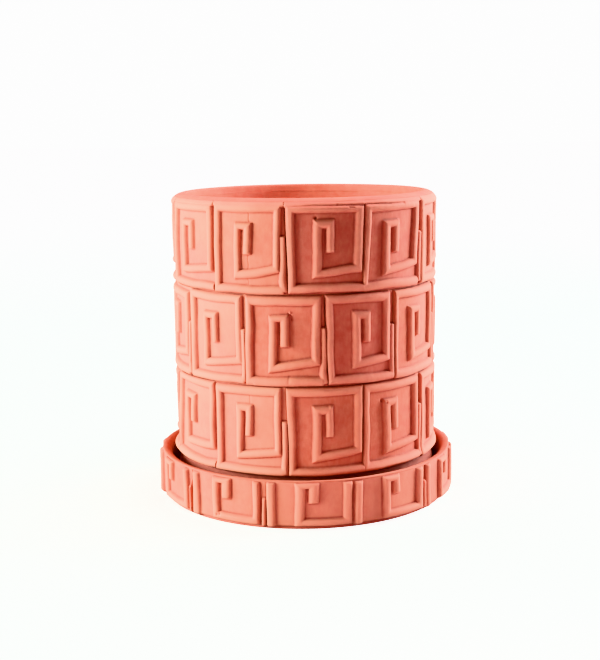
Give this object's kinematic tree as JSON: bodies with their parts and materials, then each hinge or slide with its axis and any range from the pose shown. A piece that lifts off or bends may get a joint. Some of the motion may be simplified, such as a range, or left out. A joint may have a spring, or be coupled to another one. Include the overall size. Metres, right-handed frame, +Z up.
{
  "type": "tulsi vrindavan planter",
  "caption": "Round hand-built terracotta planter, faced with courses of pressed tiles that carry a square spiral, standing in a matching low round saucer.",
  "frame": {"origin": "centre of the saucer's underside, on the ground", "axes": "+Z up along the pot's axis, -Y towards the side that the picture shows, +X to the right there"},
  "size_m": [0.2886, 0.2889, 0.293],
  "materials": {
    "pot_terracotta": "matte",
    "tile_terracotta": "matte",
    "saucer_terracotta": "matte"
  },
  "bodies": {
    "saucer": {"saucer_rim_coil": "saucer_terracotta", "saucer_strip_01": "saucer_terracotta", "saucer_strip_02": "saucer_terracotta", "saucer_strip_03": "saucer_terracotta", "saucer_strip_04": "saucer_terracotta", "saucer_strip_05": "saucer_terracotta", "saucer_strip_06": "saucer_terracotta", "saucer_strip_07": "saucer_terracotta", "saucer_strip_08": "saucer_terracotta", "saucer_strip_09": "saucer_terracotta", "saucer_strip_10": "saucer_terracotta", "saucer_strip_11": "saucer_terracotta", "saucer_tray": "saucer_terracotta"},
    "pot": {"lower_tile_01": "tile_terracotta", "lower_tile_02": "tile_terracotta", "lower_tile_03": "tile_terracotta", "lower_tile_04": "tile_terracotta", "lower_tile_05": "tile_terracotta", "lower_tile_06": "tile_terracotta", "lower_tile_07": "tile_terracotta", "lower_tile_08": "tile_terracotta", "lower_tile_09": "tile_terracotta", "lower_tile_10": "tile_terracotta", "lower_tile_11": "tile_terracotta", "middle_tile_01": "tile_terracotta", "middle_tile_02": "tile_terracotta", "middle_tile_03": "tile_terracotta", "middle_tile_04": "tile_terracotta", "middle_tile_05": "tile_terracotta", "middle_tile_06": "tile_terracotta", "middle_tile_07": "tile_terracotta", "middle_tile_08": "tile_terracotta", "middle_tile_09": "tile_terracotta", "middle_tile_10": "tile_terracotta", "middle_tile_11": "tile_terracotta", "pot_foot_band": "pot_terracotta", "pot_liner": "pot_terracotta", "pot_rim_coil": "pot_terracotta", "upper_tile_01": "tile_terracotta", "upper_tile_02": "tile_terracotta", "upper_tile_03": "tile_terracotta", "upper_tile_04": "tile_terracotta", "upper_tile_05": "tile_terracotta", "upper_tile_06": "tile_terracotta", "upper_tile_07": "tile_terracotta", "upper_tile_08": "tile_terracotta", "upper_tile_09": "tile_terracotta", "upper_tile_10": "tile_terracotta", "upper_tile_11": "tile_terracotta"}
  },
  "joints": [
    {"name": "pot_lift", "type": "slide", "parent": "saucer", "child": "pot", "axis": [0, 0, 1], "range_m": [0, 0.06]}
  ]
}
